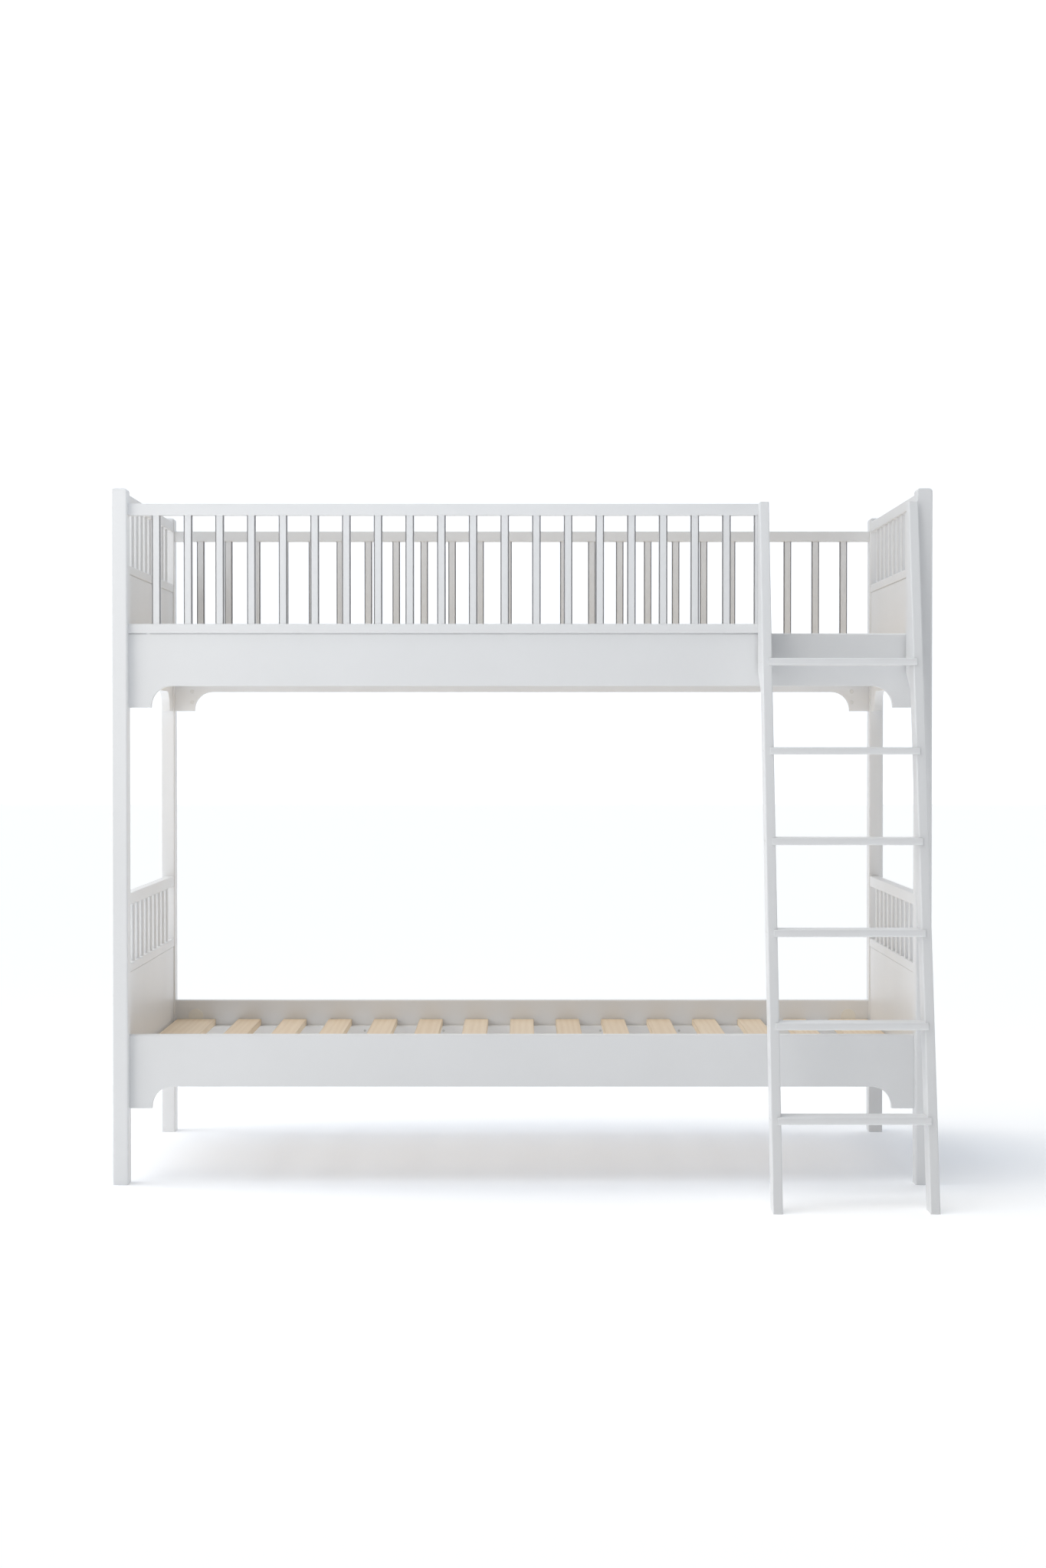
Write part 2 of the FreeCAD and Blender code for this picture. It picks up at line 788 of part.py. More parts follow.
for mouth_z, height, into in guard_bolt_places:
    z = mouth_z + into.z * height / 2
    bolt = post_bolt(guard_middle_y, z)
    mouth = Vec(nut_x, guard_middle_y, mouth_z)
    nut = barrel_nut(mouth, into, height - nut_wall, bolt)
    room = nut_room(mouth, into, height - nut_wall)
    for side, row in (("left", "front"), ("left", "rear"), ("right", "rear")):
        guard_bolts.append(placed(bolt, side, row))
        guard_nuts.append(placed(nut, side, row))
        post_cuts[side, row].append(placed(post_bolt_room(guard_middle_y, z), side, row))
        guard_cuts[row].append(placed(bolt, side, row))
        guard_cuts[row].append(placed(room, side, row))

hook_pins = [hook_pin(side) for side in sides]
cleat_screw_sets = {}
guard_screw_sets = {}
for row in rows:
    guard_screw_sets[row] = [placed(s, "right", row) for s in guard_screws(row)]
    for level in levels:
        cleat_screw_sets[level, row] = [placed(s, "right", row) for s in cleat_screws(level)]

# Wooden frame
end_tenons = []
for level in levels:
    top, top_foot, mid_top, mid_foot = end_rail_z(level)
    end_tenons += tenons(top_foot, top) + tenons(mid_foot, mid_top)
    end_tenons.append(end_infill(level))

for side in sides:
    for row in rows:
        cuts = list(post_cuts[side, row])
        cuts += [placed(t, side, "front") for t in end_tenons]
        nodes[row + "_" + side + "_post"] = placed(post_blank(), side, row).cut(cuts)

for level in levels:
    for row in rows:
        cuts = panel_cuts[level, row] + cleat_screw_sets[level, row]
        if level == "upper":
            cuts = cuts + guard_screw_sets[row]
        if level == "upper" and row == "front":
            cuts = cuts + hook_pins
        nodes[level + "_" + row + "_panel"] = placed(side_panel(level), "right", row).cut(cuts)
        cleat = placed(side_cleat(level), "right", row)
        nodes[level + "_" + row + "_cleat"] = cleat.cut(cleat_screw_sets[level, row])
    nodes[level + "_slats"] = base_slats(level)
    nodes[level + "_end_slats"] = base_end_slats(level)
    nodes[level + "_slat_tapes"] = base_tapes(level)
    for side in sides:
        name = level + "_" + side
        nodes[name + "_top_rail"] = placed(end_top_rail(level), side, "front")
        nodes[name + "_mid_rail"] = placed(end_mid_rail(level), side, "front")
        nodes[name + "_spindles"] = placed(spindles(level), side, "front")
        nodes[name + "_infill"] = placed(end_infill(level), side, "front")

for row in rows:
    top_rail = guard_rail(row, guard_top - guard_top_rail_height, guard_top)
    bottom_rail = guard_rail(row, upper_panel_top, guard_foot)
    screws = guard_screws(row)
    nodes[row + "_guard_top_rail"] = placed(top_rail, "right", row).cut(guard_cuts[row])
    nodes[row + "_guard_bottom_rail"] = placed(bottom_rail.cut(screws), "right", row).cut(guard_cuts[row])
    nodes[row + "_guard_slats"] = placed(guard_slats(row), "right", row)

# Ladder
treads = [tread(index) for index in range(tread_count)]
for index, solid in enumerate(treads):
    screws = tread_screws("left") + tread_screws("right")
    nodes["tread_" + str(index + 1)] = solid.cut(screws)
for side in sides:
    x0 = ladder_left if side == "left" else ladder_right - stile_thickness
    stile = stile_blank(x0).cut(treads)
    stile = stile.cut([stile_pocket(side)] + tread_screws(side) + plate_screws(side))
    nodes["ladder_" + side + "_stile"] = stile
plates = [hook_plate(side).cut(plate_screws(side)) for side in sides]
nodes["ladder_hook_plates"] = Part.makeCompound(plates)
nodes["hook_plate_screws"] = Part.makeCompound(plate_screws("left") + plate_screws("right"))
nodes["tread_screws"] = Part.makeCompound(tread_screws("left") + tread_screws("right"))

# Fastener groups
nodes["ladder_hook_pins"] = Part.makeCompound(hook_pins)
nodes["bed_bolts"] = Part.makeCompound(bed_bolts)
nodes["barrel_nuts"] = Part.makeCompound(barrel_nuts)
nodes["pocket_bolts"] = Part.makeCompound(pocket_bolts)
nodes["pocket_caps"] = Part.makeCompound(pocket_caps)
nodes["guard_bolts"] = Part.makeCompound(guard_bolts)
nodes["guard_barrel_nuts"] = Part.makeCompound(guard_nuts)
nodes["cleat_screws"] = Part.makeCompound([s for group in cleat_screw_sets.values() for s in group])
nodes["guard_screws"] = Part.makeCompound([s for group in guard_screw_sets.values() for s in group])

for name, shape in nodes.items():
    shape.exportStep("parts/" + name + ".step")
    print(name, len(shape.Solids), "solids, valid", shape.isValid(), round(shape.Volume))
print(len(nodes), "nodes")
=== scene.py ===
import bmesh
import bpy
import math
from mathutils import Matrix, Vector


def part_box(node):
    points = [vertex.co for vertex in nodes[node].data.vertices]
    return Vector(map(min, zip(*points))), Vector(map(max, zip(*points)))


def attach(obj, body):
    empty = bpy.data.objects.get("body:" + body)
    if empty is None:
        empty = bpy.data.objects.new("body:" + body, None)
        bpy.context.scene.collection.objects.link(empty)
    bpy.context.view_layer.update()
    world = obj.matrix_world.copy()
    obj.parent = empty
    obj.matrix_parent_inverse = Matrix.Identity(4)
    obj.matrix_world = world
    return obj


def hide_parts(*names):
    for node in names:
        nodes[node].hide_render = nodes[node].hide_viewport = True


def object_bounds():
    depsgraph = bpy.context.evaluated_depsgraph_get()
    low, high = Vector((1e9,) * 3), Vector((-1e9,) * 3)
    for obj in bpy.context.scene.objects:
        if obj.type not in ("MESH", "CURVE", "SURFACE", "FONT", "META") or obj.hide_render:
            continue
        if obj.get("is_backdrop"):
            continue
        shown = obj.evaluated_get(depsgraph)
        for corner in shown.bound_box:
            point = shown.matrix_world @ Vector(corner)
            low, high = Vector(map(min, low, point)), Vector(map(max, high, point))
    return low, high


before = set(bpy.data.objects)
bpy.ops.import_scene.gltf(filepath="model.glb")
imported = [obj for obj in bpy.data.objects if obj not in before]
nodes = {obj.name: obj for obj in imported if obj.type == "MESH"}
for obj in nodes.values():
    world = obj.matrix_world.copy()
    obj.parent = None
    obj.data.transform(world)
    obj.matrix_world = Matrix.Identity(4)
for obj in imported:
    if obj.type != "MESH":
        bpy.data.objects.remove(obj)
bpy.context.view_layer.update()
print("frame loaded:", len(nodes), "nodes")


class Value:  # a socket that sums can be written with
    def __init__(self, tree, socket):
        self.tree = tree
        self.socket = socket

    def sum(self, kind, first, second):
        return self.tree.node("ShaderNodeMath", {"operation": kind}, {0: first, 1: second})

    def __add__(self, other):
        return self.sum("ADD", self, other)

    def __radd__(self, other):
        return self.sum("ADD", other, self)

    def __sub__(self, other):
        return self.sum("SUBTRACT", self, other)

    def __rsub__(self, other):
        return self.sum("SUBTRACT", other, self)

    def __mul__(self, other):
        return self.sum("MULTIPLY", self, other)

    def __rmul__(self, other):
        return self.sum("MULTIPLY", other, self)


class Tree:  # a node tree of either kind
    def __init__(self, tree):
        self.tree = tree

    def node(self, kind, settings=None, sockets=None, out=0):
        made = self.tree.nodes.new(kind)
        for key, value in (settings or {}).items():
            setattr(made, key, value)
        for key, value in (sockets or {}).items():
            if isinstance(value, Value):
                self.tree.links.new(value.socket, made.inputs[key])
            else:
                made.inputs[key].default_value = value
        return Value(self, made.outputs[out]) if made.outputs else None

    def vector(self, kind, first, second, out=0):
        return self.node("ShaderNodeVectorMath", {"operation": kind}, {0: first, 1: second}, out)

    def mix(self, share, first, second):  # 6, 7 and 2 are the node's colour sockets
        return self.node("ShaderNodeMix", {"data_type": "RGBA"}, {0: share, 6: first, 7: second}, 2)

    def surface(self, sockets):
        skin = self.node("ShaderNodeBsdfPrincipled", {}, sockets)
        self.node("ShaderNodeOutputMaterial", {}, {"Surface": skin})


def newMaterial(name):
    material = bpy.data.materials.new(name)
    material.use_nodes = True
    material.node_tree.nodes.clear()
    return material, Tree(material.node_tree)


whiteLacquer = {
    "paint": (0.812, 0.816, 0.822, 1),
    "shade": (0.788, 0.792, 0.797, 1),
    "worn": (0.860, 0.862, 0.865, 1),
    "grainDetail": 5.0,
    "grainBreak": 0.55,
    "cloudScale": 5.0,
    "cloudContrast": 1.6,
    "cloudFloor": 0.4,
    "peelScale": 420.0,
    "edge": 0.0022,  # how far edges look rounded
    "wearGain": 5,
    "wearInGrain": 0.8,
    "roughness": 0.42,
    "grainRoughness": 0.10,
    "cloudRoughness": 0.08,
    "wearGloss": 0.06,
    "grainBump": 0.10,
    "peelBump": 0.05,
    "bump": {"Strength": 0.35, "Distance": 0.0006},
}


def lacquer(name, stretch, lean=0.0, spec=whiteLacquer):  # the wood's grain shows faintly through the paint
    material, t = newMaterial(name)
    place = t.node("ShaderNodeTexCoord", out="Object")
    turn = {"Vector": place, "Angle": lean}
    upright = t.node("ShaderNodeVectorRotate", {"rotation_type": "X_AXIS"}, turn)
    along = t.node("ShaderNodeMapping", {}, {"Vector": upright, "Scale": stretch})
    fibre = {"Vector": along, "Scale": 1.0, "Detail": spec["grainDetail"], "Roughness": spec["grainBreak"]}
    grain = t.node("ShaderNodeTexNoise", {}, fibre)
    cloud = t.node("ShaderNodeTexNoise", {}, {"Vector": place, "Scale": spec["cloudScale"], "Detail": 3.0})
    peel = t.node("ShaderNodeTexNoise", {}, {"Vector": place, "Scale": spec["peelScale"], "Detail": 2.0})
    colour = t.mix(cloud * spec["cloudContrast"] - spec["cloudFloor"], spec["paint"], spec["shade"])
    soft = t.node("ShaderNodeBevel", {"samples": 4}, {"Radius": spec["edge"]})
    flat = t.node("ShaderNodeNewGeometry", out="Normal")
    wear = (1 - t.vector("DOT_PRODUCT", soft, flat, "Value")) * spec["wearGain"]
    colour = t.mix(wear * (grain * spec["wearInGrain"]), colour, spec["worn"])
    rough = spec["roughness"] + (grain - 0.5) * spec["grainRoughness"]
    rough = rough + (cloud - 0.5) * spec["cloudRoughness"] - wear * spec["wearGloss"]
    height = grain * spec["grainBump"] + peel * spec["peelBump"]
    bump = t.node("ShaderNodeBump", {}, dict(spec["bump"], Height=height, Normal=soft))
    t.surface({"Base Color": colour, "Roughness": rough, "Normal": bump})
    return material


slatWood = {
    "light": (0.860, 0.712, 0.530, 1),
    "dark": (0.690, 0.515, 0.335, 1),
    "shift": {"X": 7.0, "Y": 31.0, "Z": 3.0},  # how far each slat's own tone moves its pattern
    "grain": (60, 2.2, 60),
    "pores": (900, 60, 900),
    "warp": {"Scale": 0.35, "Detail": 2.0, "Distortion": 0.4},
    "streak": {"Scale": 2.5, "Detail": 6.0, "Roughness": 0.6},
    "rings": {"Scale": 0.30, "Distortion": 9.0, "Detail": 3.0, "Detail Scale": 0.6},
    "ringShare": 0.22,
    "streakShare": 0.35,
    "warpShare": 0.35,
    "toneShare": 0.18,
    "lightShare": 0.22,
    "fleckStart": 0.55,
    "fleckShare": 1.2,
    "roughness": 0.62,
    "streakRoughness": 0.2,
    "streakBump": 0.5,
    "fleckBump": 0.6,
    "bump": {"Strength": 0.4, "Distance": 0.0005},
}


def birch(name, spec=slatWood):
    material, t = newMaterial(name)
    place = t.node("ShaderNodeTexCoord", out="Object")
    tone = t.node("ShaderNodeAttribute", {"attribute_name": "tone"}, {}, "Fac")
    shift = {axis: tone * far for axis, far in spec["shift"].items()}
    own = t.vector("ADD", place, t.node("ShaderNodeCombineXYZ", {}, shift))
    along = t.node("ShaderNodeMapping", {}, {"Vector": own, "Scale": spec["grain"]})
    across = t.node("ShaderNodeMapping", {}, {"Vector": own, "Scale": spec["pores"]})
    warp = t.node("ShaderNodeTexNoise", {}, dict(spec["warp"], Vector=along))
    streak = t.node("ShaderNodeTexNoise", {}, dict(spec["streak"], Vector=along))
    bands = {"wave_type": "BANDS", "bands_direction": "X"}
    rings = t.node("ShaderNodeTexWave", bands, dict(spec["rings"], Vector=along), "Fac")
    fleck = t.node("ShaderNodeTexNoise", {}, {"Vector": across, "Scale": 1.0, "Detail": 2.0})
    share = rings * spec["ringShare"] + streak * spec["streakShare"] + warp * spec["warpShare"]
    share = share + tone * spec["toneShare"] - spec["lightShare"]
    colour = t.mix(share, spec["light"], spec["dark"])
    colour = t.mix((fleck - spec["fleckStart"]) * spec["fleckShare"], colour, spec["dark"])
    rough = spec["roughness"] + (streak - 0.5) * spec["streakRoughness"]
    height = streak * spec["streakBump"] + fleck * spec["fleckBump"]
    bump = t.node("ShaderNodeBump", {}, dict(spec["bump"], Height=height))
    t.surface({"Base Color": colour, "Roughness": rough, "Normal": bump})
    return material


brightZinc = {
    "dull": (0.50, 0.50, 0.49, 1),
    "bright": (0.66, 0.66, 0.64, 1),
    "metal": 1.0,
    "roughness": 0.28,
}
paleZinc = {
    "dull": (0.74, 0.74, 0.73, 1),
    "bright": (0.82, 0.82, 0.81, 1),
    "metal": 0.25,
    "roughness": 0.45,
}
zincPlating = {
    "blotchScale": 260.0,
    "blotchRoughness": 0.2,
    "bump": {"Strength": 0.2, "Distance": 0.0002},
}


def zinc(name, spec, plating=zincPlating):
    material, t = newMaterial(name)
    place = t.node("ShaderNodeTexCoord", out="Object")
    cloud = {"Vector": place, "Scale": plating["blotchScale"], "Detail": 4.0}
    blotch = t.node("ShaderNodeTexNoise", {}, cloud)
    colour = t.mix(blotch, spec["dull"], spec["bright"])
    rough = spec["roughness"] + blotch * plating["blotchRoughness"]
    bump = t.node("ShaderNodeBump", {}, dict(plating["bump"], Height=blotch))
    t.surface({"Base Color": colour, "Metallic": spec["metal"], "Roughness": rough, "Normal": bump})
    return material


creamCap = {
    "dark": (0.80, 0.785, 0.735, 1),
    "light": (0.84, 0.825, 0.78, 1),
    "speckleScale": 900.0,
    "roughness": 0.5,
    "speckleRoughness": 0.1,
    "bump": {"Strength": 0.3, "Distance": 0.0002},
}


def capPlastic(name, spec=creamCap):
    material, t = newMaterial(name)
    place = t.node("ShaderNodeTexCoord", out="Object")
    dots = {"Vector": place, "Scale": spec["speckleScale"], "Detail": 2.0}
    speckle = t.node("ShaderNodeTexNoise", {}, dots)
    colour = t.mix(speckle, spec["dark"], spec["light"])
    rough = spec["roughness"] + speckle * spec["speckleRoughness"]
    bump = t.node("ShaderNodeBump", {}, dict(spec["bump"], Height=speckle))
    t.surface({"Base Color": colour, "Roughness": rough, "Normal": bump})
    return material


tapeWeave = {
    "dark": (0.62, 0.60, 0.53, 1),
    "light": (0.80, 0.78, 0.70, 1),
    "threadScale": 160.0,
    "roughness": 0.85,
    "bump": {"Strength": 0.6, "Distance": 0.0004},
}


def webbing(name, spec=tapeWeave):
    material, t = newMaterial(name)
    place = t.node("ShaderNodeTexCoord", out="Object")
    thread = {"Vector": place, "Scale": spec["threadScale"]}
    warp = t.node("ShaderNodeTexWave", {"bands_direction": "X"}, thread, "Fac")
    weft = t.node("ShaderNodeTexWave", {"bands_direction": "Y"}, thread, "Fac")
    weave = warp * weft
    colour = t.mix(weave, spec["dark"], spec["light"])
    bump = t.node("ShaderNodeBump", {}, dict(spec["bump"], Height=weave))
    t.surface({"Base Color": colour, "Roughness": spec["roughness"], "Normal": bump})
    return material


stileLow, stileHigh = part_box("ladder_left_stile")
stileShank = 0.075  # the stile's level depth, front to back
stileLean = math.atan2(stileHigh.y - stileLow.y - stileShank, stileHigh.z - stileLow.z)
alongX = lacquer("whiteLacquerAlongX", (3, 90, 90))
alongY = lacquer("whiteLacquerAlongY", (90, 3, 90))
alongZ = lacquer("whiteLacquerAlongZ", (90, 90, 3))
alongStile = lacquer("whiteLacquerAlongStile", (90, 90, 3), stileLean)
slatFinish = birch("bareBirch")
zincFinish = zinc("brightZinc", brightZinc)
nutFinish = zinc("paleZinc", paleZinc)
capFinish = capPlastic("capPlastic")
tapeFinish = webbing("tapeWebbing")


def dress(node, material):
    nodes[node].data.materials.clear()
    nodes[node].data.materials.append(material)


for name in nodes:
    if name.endswith("_slats") and "guard" not in name:
        dress(name, slatFinish)
    elif name.endswith("_tapes"):
        dress(name, tapeFinish)
    elif name == "pocket_caps":
        dress(name, capFinish)
    elif any(word in name for word in ("bolts", "nuts", "screws", "pins", "hook_plates")):
        dress(name, zincFinish)
    elif "stile" in name:
        dress(name, alongStile)
    elif name.endswith("_post") or "spindles" in name or name.endswith("guard_slats"):
        dress(name, alongZ)
    elif "left" in name or "right" in name:
        dress(name, alongY)
    else:
        dress(name, alongX)
print("finishes given")


def newObject(name, bm):
    mesh = bpy.data.meshes.new(name)
    bm.to_mesh(mesh)
    bm.free()
    made = bpy.data.objects.new(name, mesh)
    bpy.context.scene.collection.objects.link(made)
    return made


def solidsOf(node):  # the box of each loose solid in a CAD node, by their low corners
    bm = bmesh.new()
    bm.from_mesh(nodes[node].data)
    bmesh.ops.remove_doubles(bm, verts=bm.verts, dist=1e-5)
    bm.verts.index_update()
    reached = set()
    boxes = []
    for start in bm.verts:
        if start.index in reached:
            continue
        reached.add(start.index)
        stack = [start]
        corners = []
        while stack:
            vert = stack.pop()
            corners.append(vert.co.copy())
            for edge in vert.link_edges:
                other = edge.other_vert(vert)
                if other.index not in reached:
                    reached.add(other.index)
                    stack.append(other)
        boxes.append((Vector(map(min, zip(*corners))), Vector(map(max, zip(*corners)))))
    bm.free()
    return sorted(boxes, key=lambda box: tuple(box[0]))


def newGroup(name, inputs):
    group = bpy.data.node_groups.new(name, "GeometryNodeTree")
    group.interface.new_socket("Geometry", in_out="OUTPUT", socket_type="NodeSocketGeometry")
    for title, kind in inputs.items():
        group.interface.new_socket(title, in_out="INPUT", socket_type="NodeSocket" + kind)
    t = Tree(group)
    return group, t, {title: t.node("NodeGroupInput", out=title) for title in inputs}


def randomFloat(t, low, high, seed):  # 2, 3 and 1 are the node's float sockets
    return t.node("FunctionNodeRandomValue", {"data_type": "FLOAT"}, {2: low, 3: high, "Seed": seed}, 1)


def finishTree(t, placed, take):  # a tone for each copy, then one plain mesh with its material
    tone = {"Geometry": placed, "Name": "tone", "Value": randomFloat(t, -1.0, 1.0, take["Seed"])}
    settings = {"data_type": "FLOAT", "domain": "INSTANCE"}
    kept = t.node("GeometryNodeStoreNamedAttribute", settings, tone)
    real = t.node("GeometryNodeRealizeInstances", {}, {"Geometry": kept})
    painted = t.node("GeometryNodeSetMaterial", {}, {"Geometry": real, "Material": take["Material"]})
    t.node("NodeGroupOutput", {}, {0: painted})


def rowTree():  # copies of one piece at even steps
    inputs = {"Count": "Int", "Start": "Vector", "Step": "Vector", "Piece": "Object"}
    group, t, take = newGroup("evenRow", dict(inputs, Seed="Int", Material="Material"))
    places = {"Count": take["Count"], "Start Location": take["Start"], "Offset": take["Step"]}
    line = t.node("GeometryNodeMeshLine", {"mode": "OFFSET"}, places)
    piece = t.node("GeometryNodeObjectInfo", {}, {"Object": take["Piece"]}, "Geometry")
    finishTree(t, t.node("GeometryNodeInstanceOnPoints", {}, {"Points": line, "Instance": piece}), take)
    return group


def scatterTree():  # copies of one fastener on the host's points, each turned at random about its own axis
    inputs = {"Points": "Geometry", "Piece": "Object", "Turn": "Float"}
    group, t, take = newGroup("fastenersOnPoints", dict(inputs, Seed="Int", Material="Material"))
    facing = t.node("GeometryNodeInputNamedAttribute", {"data_type": "FLOAT_VECTOR"}, {"Name": "facing"})
    aim = t.node("FunctionNodeAlignRotationToVector", {"axis": "Z"}, {"Vector": facing})
    angle = randomFloat(t, 0.0, take["Turn"], take["Seed"])
    spin = t.node("FunctionNodeAxisAngleToRotation", {}, {"Axis": (0, 0, 1), "Angle": angle})
    local = {"rotation_space": "LOCAL"}
    turned = t.node("FunctionNodeRotateRotation", local, {"Rotation": aim, "Rotate By": spin})
    piece = t.node("GeometryNodeObjectInfo", {}, {"Object": take["Piece"]}, "Geometry")
    points = t.node("GeometryNodeMeshToPoints", {}, {"Mesh": take["Points"]})
    copies = {"Points": points, "Instance": piece, "Rotation": turned}
    finishTree(t, t.node("GeometryNodeInstanceOnPoints", {}, copies), take)
    return group


def grow(name, host, group, template, inputs, material, body, replaced):
    modifier = host.modifiers.new("grow", "NODES")
    modifier.node_group = group
    inputs = dict(inputs, Piece=template, Material=material)
    for socket in group.interface.items_tree:
        if socket.in_out == "INPUT" and socket.name in inputs:
            modifier[socket.identifier] = inputs[socket.name]
    weighted = host.modifiers.new("weighted", "WEIGHTED_NORMAL")
    weighted.keep_sharp = True
    ready = host.evaluated_get(bpy.context.evaluated_depsgraph_get())
    mesh = bpy.data.meshes.new_from_object(ready)
    host.modifiers.clear()
    host.data = mesh
    host.name = mesh.name = name
    bpy.data.objects.remove(template)
    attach(host, body)
    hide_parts(*replaced)


def softBar(size, edge, ends, steps=3):  # a bar along its longest side, rounder along it than at its ends
    bm = bmesh.new()
    bmesh.ops.create_cube(bm, size=1.0)
    bmesh.ops.scale(bm, vec=size, verts=bm.verts)
    along = max(range(3), key=lambda axis: size[axis])
    half = size[along] / 2
    long = [e for e in bm.edges if abs(e.verts[0].co[along] - e.verts[1].co[along]) > half]
    bmesh.ops.bevel(bm, geom=long, offset=edge, segments=steps, profile=0.5, affect="EDGES")
    tips = [e for e in bm.edges if all(abs(abs(v.co[along]) - half) < 1e-6 for v in e.verts)]
    bmesh.ops.bevel(bm, geom=tips, offset=ends, segments=2, profile=0.5, affect="EDGES")
    for face in bm.faces:
        face.smooth = True
    return newObject("softBar", bm)


evenRow = rowTree()
onPoints = scatterTree()


def rowOf(name, boxes, spec, material, body, replaced, seed):
    low, high = boxes[0]
    first = (low + high) / 2
    last = (boxes[-1][0] + boxes[-1][1]) / 2
    step = (last - first) / (len(boxes) - 1)
    inputs = {"Count": len(boxes), "Start": first, "Step": step, "Seed": seed}
    template = softBar(high - low, spec["edge"], spec["ends"], spec["steps"])
    grow(name, newObject(name, bmesh.new()), evenRow, template, inputs, material, body, replaced)


baseSlat = {"edge": 0.0022, "ends": 0.0012, "steps": 3}

for number, level in enumerate(("lower", "upper")):
    for node, title, seed in (("_slats", "Slats", 3), ("_end_slats", "EndSlats", 8)):
        node = level + node
        seed = seed + 20 * number
        rowOf(level + title, solidsOf(node), baseSlat, slatFinish, level + "_base", [node], seed)
print("slatted bases laid")


spindle = {"edge": 0.0045, "ends": 0.0010, "steps": 4}
guardSlat = {"edge": 0.0032, "ends": 0.0010, "steps": 4}

for level in ("lower", "upper"):
    for side in ("left", "right"):
        node = level + "_" + side + "_spindles"
        title = level + side.title() + "Spindles"
        rowOf(title, solidsOf(node), spindle, alongZ, "frame", [node], 1)
for row in ("front", "rear"):
    node = row + "_guard_slats"
    rowOf(row + "GuardSlats", solidsOf(node), guardSlat, alongZ, "frame", [node], 2)
print("spindles and guard slats set")


treadBar = {"edge": 0.0050, "ends": 0.0006, "steps": 4}

treads = ["tread_%d" % number for number in range(1, 7)]
treadBoxes = [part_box(node) for node in treads]
rowOf("ladderTreads", treadBoxes, treadBar, alongX, "ladder", treads, 4)
print("treads set")


def around(radius, sides):
    turns = [2 * math.pi * i / sides for i in range(sides)]
    return [(radius * math.cos(turn), radius * math.sin(turn)) for turn in turns]


def lathe(bm, rings, sides):  # rings are (radius, height) from the head's rim downwards
    rows = [[bm.verts.new((x, y, height)) for x, y in around(radius, sides)] for radius, height in rings]
    for upper, lower in zip(rows, rows[1:]):
        for i in range(sides):
            j = (i + 1) % sides
            bm.faces.new((upper[i], lower[i], lower[j], upper[j]))
    bm.faces.new(list(reversed(rows[-1])))
    return rows[0]


def recessed(bm, rim, outline, top, depth, taper):  # closes the head round a tapered recess
    mouth = [bm.verts.new((x, y, top)) for x, y in outline]
    bottom = [bm.verts.new((x * taper, y * taper, top - depth)) for x, y in outline]
    edges = []
    for ring in (rim, mouth):
        for i, vert in enumerate(ring):
            other = ring[(i + 1) % len(ring)]
            edges.append(bm.edges.get((vert, other)) or bm.edges.new((vert, other)))
    bmesh.ops.triangle_fill(bm, edges=edges, use_beauty=True)
    for i in range(len(mouth)):
        j = (i + 1) % len(mouth)
        bm.faces.new((mouth[i], bottom[i], bottom[j], mouth[j]))
    bm.faces.new(bottom)


def crossOutline(reach, half):
    points = []
    for turn in range(4):
        for x, y in ((reach, half), (half, half), (half, reach)):
            for _ in range(turn):
                x, y = -y, x
            points.append((x, y))
    return points


def slotOutline(reach, half):
    return [(reach, -half), (reach, half), (-reach, half), (-reach, -half)]


def fastener(name, spec, crease=0.6):
    bm = bmesh.new()
    rim = lathe(bm, spec["rings"], spec["sides"])
    recessed(bm, rim, spec["recess"], spec["rings"][0][1], spec["depth"], spec["taper"])
    bmesh.ops.recalc_face_normals(bm, faces=bm.faces[:])
    for face in bm.faces:
        face.smooth = True
    for edge in bm.edges:
        edge.smooth = not edge.is_manifold or edge.calc_face_angle(0) < crease
    return newObject(name, bm)


def pointsFacing(name, points, facings):  # a host of loose points, each with the way its fastener faces
    bm = bmesh.new()
    for point in points:
        bm.verts.new(point)
    host = newObject(name, bm)
    stored = host.data.attributes.new("facing", "FLOAT_VECTOR", "POINT")
    for item, facing in zip(stored.data, facings):
        item.vector = facing
    return host


def fastenersOn(node, name, facingOf, spec, material, body, slot, seed):
    points = []
    facings = []
    for low, high in solidsOf(node):
        middle = (low + high) / 2
        facing = Vector(facingOf(middle))
        half = (high - low) / 2
        reach = sum(half[i] * abs(facing[i]) for i in range(3))
        points.append(middle + facing * (reach - spec["sunk"]))
        facings.append(facing)
    host = pointsFacing(name, points, facings)
    foot = (spec["shank"], spec["short"] - 2 * reach)
    template = fastener(name, dict(spec, rings=spec["rings"] + [foot]))
    grow(name, host, onPoints, template, {"Turn": spec["turn"], "Seed": seed}, material, body, [node])


bedMiddle = (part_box("front_left_post")[0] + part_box("rear_right_post")[1]) / 2
ladderMiddle = (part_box("ladder_left_stile")[0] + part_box("ladder_right_stile")[1]) / 2
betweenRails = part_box("front_guard_slats")[0].z + 0.1  # a height between a guard's two rails


def inward(middle):  # towards the middle of the bed
    return (0, 1 if middle.y < bedMiddle.y else -1, 0)


def outward(middle):  # along the bed, away from its middle
    return (1 if middle.x > 0 else -1, 0, 0)


def intoRail(middle):  # down out of a top rail, up out of a bottom rail
    return (0, 0, -1 if middle.z > betweenRails else 1)


def awayFromLadder(middle):
    return (1 if middle.x > ladderMiddle.x else -1, 0, 0)


def upward(middle):
    return (0, 0, 1)


def backward(middle):
    return (0, 1, 0)


